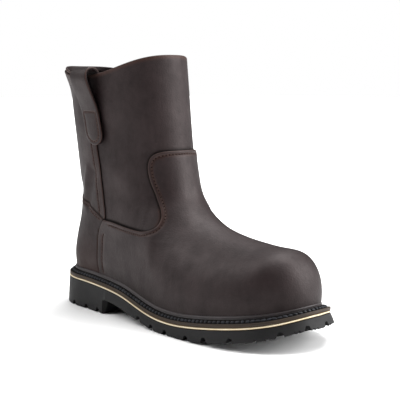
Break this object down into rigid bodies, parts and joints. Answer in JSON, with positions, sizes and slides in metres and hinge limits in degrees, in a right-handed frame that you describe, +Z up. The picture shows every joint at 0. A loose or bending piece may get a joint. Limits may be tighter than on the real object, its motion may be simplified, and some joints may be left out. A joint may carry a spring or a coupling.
{
  "type": "pull-on work boot",
  "caption": "Right pull-on leather work boot with a bulbous toe, stitched welt, pale midsole line, lugged rubber sole with heel, and a pull strap on each side of the collar.",
  "frame": {"origin": "middle of the boot's box, on the floor that the sole stands on", "axes": "+X towards the toe, +Y towards the inner (medial) side, +Z up"},
  "size_m": [0.3176, 0.1178, 0.25],
  "materials": {
    "outsole_rubber": "matt moulded rubber, black",
    "midsole_rubber": "matt, cream",
    "welt_rubber": "satin, black",
    "insole_felt": "felt, brown",
    "upper_leather": "smooth oiled leather, dark brown, satin",
    "strap_leather": "smooth oiled leather, dark brown, satin"
  },
  "bodies": {
    "root": {"outsole": "outsole_rubber", "midsole": "midsole_rubber", "welt": "welt_rubber", "insole": "insole_felt", "upper": "upper_leather", "pull_strap_lateral": "strap_leather", "pull_strap_medial": "strap_leather"}
  },
  "joints": []
}
